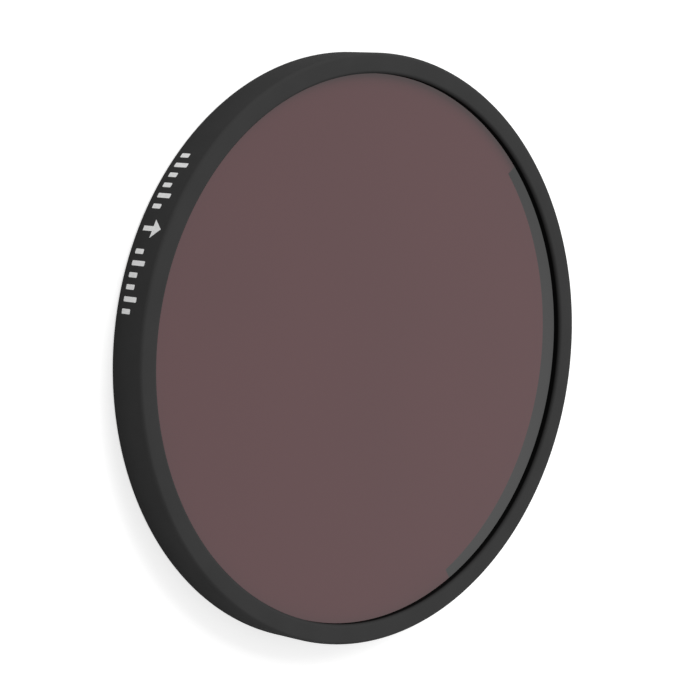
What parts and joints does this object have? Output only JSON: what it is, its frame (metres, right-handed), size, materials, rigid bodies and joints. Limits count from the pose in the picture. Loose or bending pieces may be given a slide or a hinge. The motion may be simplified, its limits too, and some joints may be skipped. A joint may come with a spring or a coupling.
{
  "type": "optical bandpass filter",
  "caption": "Round coated glass filter in a slim plain black ring, with a front lip and a slotted retaining ring behind the glass.",
  "frame": {"origin": "centre of the rear face, on the optical axis", "axes": "+Z along the optical axis, out of the front of the filter; it lies on its rear face"},
  "size_m": [0.0506, 0.0506, 0.0037],
  "materials": {
    "black_anodised": "matt black anodised",
    "coated_glass": "polished, with a reflecting thin-film coating that looks dull mauve"
  },
  "bodies": {
    "root": {"filter_cell": "black_anodised", "filter_glass": "coated_glass", "retaining_ring": "black_anodised"}
  },
  "joints": []
}
